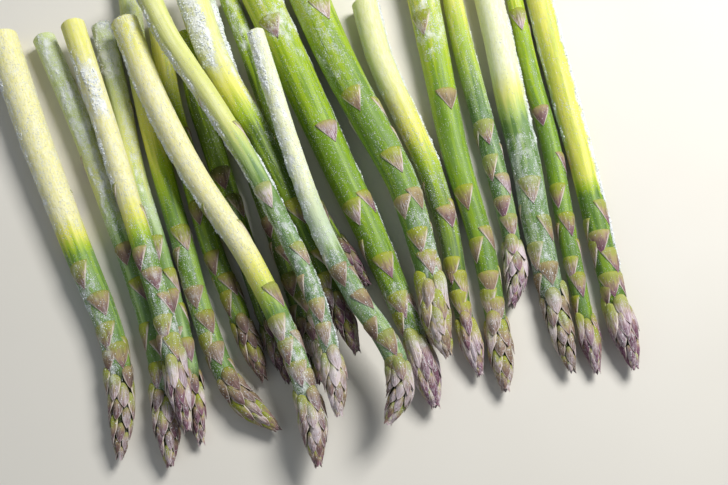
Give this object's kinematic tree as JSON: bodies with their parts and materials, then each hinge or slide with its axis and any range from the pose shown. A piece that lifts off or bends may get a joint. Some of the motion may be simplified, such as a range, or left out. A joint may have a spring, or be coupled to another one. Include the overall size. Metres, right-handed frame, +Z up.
{
  "type": "bundle of green asparagus",
  "caption": "Loose flat heap of frozen green asparagus spears with cut butts at one end and pointed scaly buds at the other, some lying across the others.",
  "frame": {"origin": "middle of the heap's outline seen from above, on the surface that it lies on", "axes": "+X across the spears, +Y towards the cut butts, +Z up"},
  "size_m": [0.2778, 0.2244, 0.0305],
  "materials": {
    "pale_skin": "waxy pale yellow-green asparagus skin with white frost",
    "yellow_green_skin": "waxy yellow-green asparagus skin with light frost",
    "green_skin": "waxy bright green asparagus skin with light frost",
    "deep_green_skin": "waxy dark green asparagus skin",
    "frosted_skin": "green asparagus skin under a dull white frost"
  },
  "bodies": {
    "root": {"spear_01": "pale_skin", "spear_02": "green_skin", "spear_03": "pale_skin", "spear_04": "green_skin", "spear_05": "pale_skin", "spear_06": "green_skin", "spear_07": "yellow_green_skin", "spear_08": "frosted_skin", "spear_09": "deep_green_skin", "spear_10": "yellow_green_skin", "spear_11": "deep_green_skin", "spear_12": "deep_green_skin", "spear_13": "frosted_skin", "spear_14": "green_skin", "spear_15": "green_skin", "spear_16": "yellow_green_skin", "spear_17": "green_skin", "spear_18": "frosted_skin", "spear_19": "frosted_skin", "spear_20": "green_skin", "spear_21": "pale_skin"}
  },
  "joints": []
}
